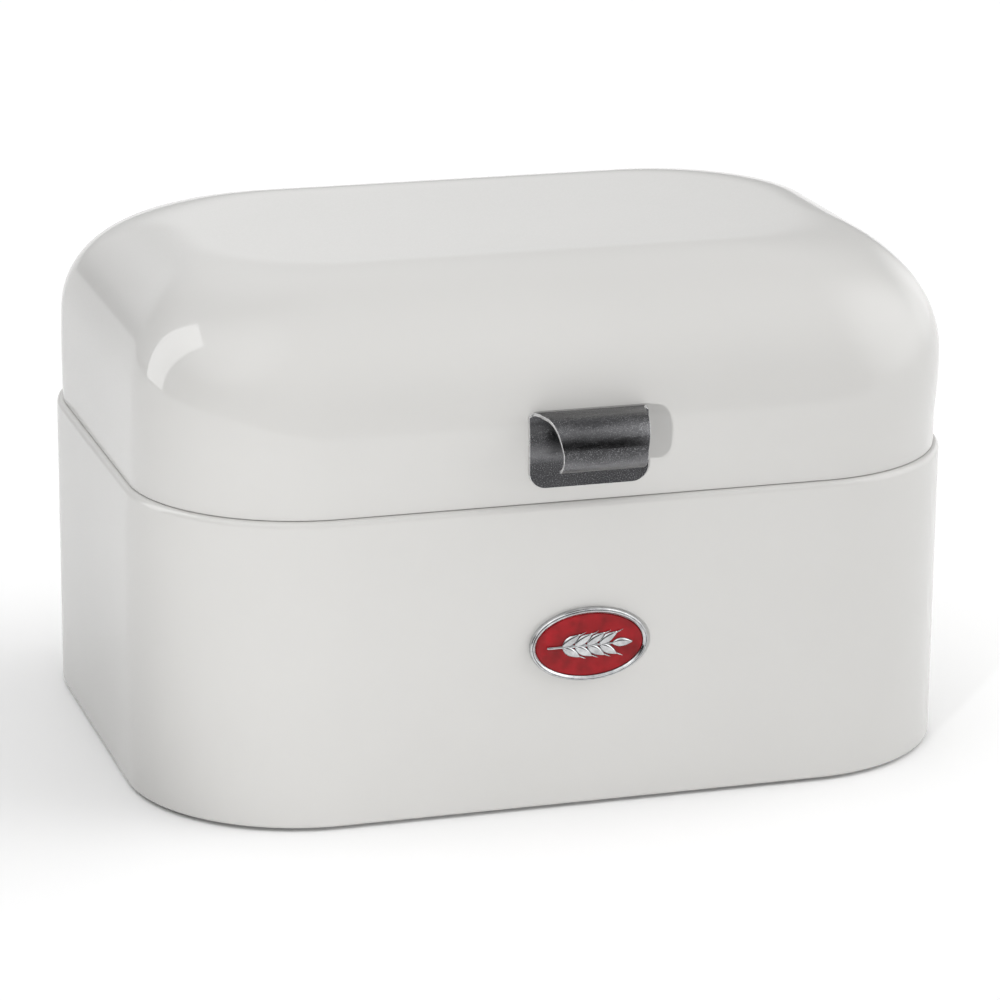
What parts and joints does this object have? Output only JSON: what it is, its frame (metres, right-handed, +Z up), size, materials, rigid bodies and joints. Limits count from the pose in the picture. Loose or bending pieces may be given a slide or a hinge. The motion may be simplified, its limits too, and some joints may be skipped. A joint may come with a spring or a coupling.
{
  "type": "bread box",
  "caption": "Rounded sheet steel bread box with a domed lid that lifts on a piano hinge at the rear, a curled sheet metal handle and an oval badge.",
  "frame": {"origin": "middle of the overall footprint, on the surface that the feet stand on", "axes": "+X to the right seen from the front, +Y from the handle towards the hinge, +Z up"},
  "size_m": [0.28, 0.2426, 0.175],
  "materials": {
    "white_coat": "semi-gloss off-white powder coat with a fine grain",
    "gunmetal_steel": "dark gunmetal, slightly grainy",
    "badge_chrome": "polished chrome",
    "red_enamel": "glossy red enamel",
    "zinc_steel": "zinc plated, dull",
    "foot_rubber": "matt black"
  },
  "bodies": {
    "base": {"body_shell": "white_coat", "bottom_panel": "white_coat", "foot_front_left": "foot_rubber", "foot_front_right": "foot_rubber", "foot_rear_left": "foot_rubber", "foot_rear_right": "foot_rubber", "badge_frame": "badge_chrome", "badge_enamel": "red_enamel", "badge_wheat_ear": "badge_chrome", "badge_clip_left": "zinc_steel", "badge_clip_right": "zinc_steel", "hinge_body_leaf": "zinc_steel", "hinge_pin": "zinc_steel", "body_backing_strip": "zinc_steel", "body_rivet_1": "zinc_steel", "body_rivet_2": "zinc_steel", "body_rivet_3": "zinc_steel", "body_rivet_4": "zinc_steel"},
    "lid": {"lid_shell": "white_coat", "handle": "gunmetal_steel", "handle_washer_left": "zinc_steel", "handle_washer_right": "zinc_steel", "handle_nut_left": "zinc_steel", "handle_nut_right": "zinc_steel", "hinge_lid_leaf": "zinc_steel", "lid_backing_strip": "zinc_steel", "lid_rivet_1": "zinc_steel", "lid_rivet_2": "zinc_steel", "lid_rivet_3": "zinc_steel", "lid_rivet_4": "zinc_steel"}
  },
  "joints": [
    {"name": "lid_hinge", "type": "hinge", "parent": "base", "child": "lid", "pos_m": [0, 0.11528, 0.104], "axis": [-1, 0, 0], "range_deg": [0, 100]}
  ]
}
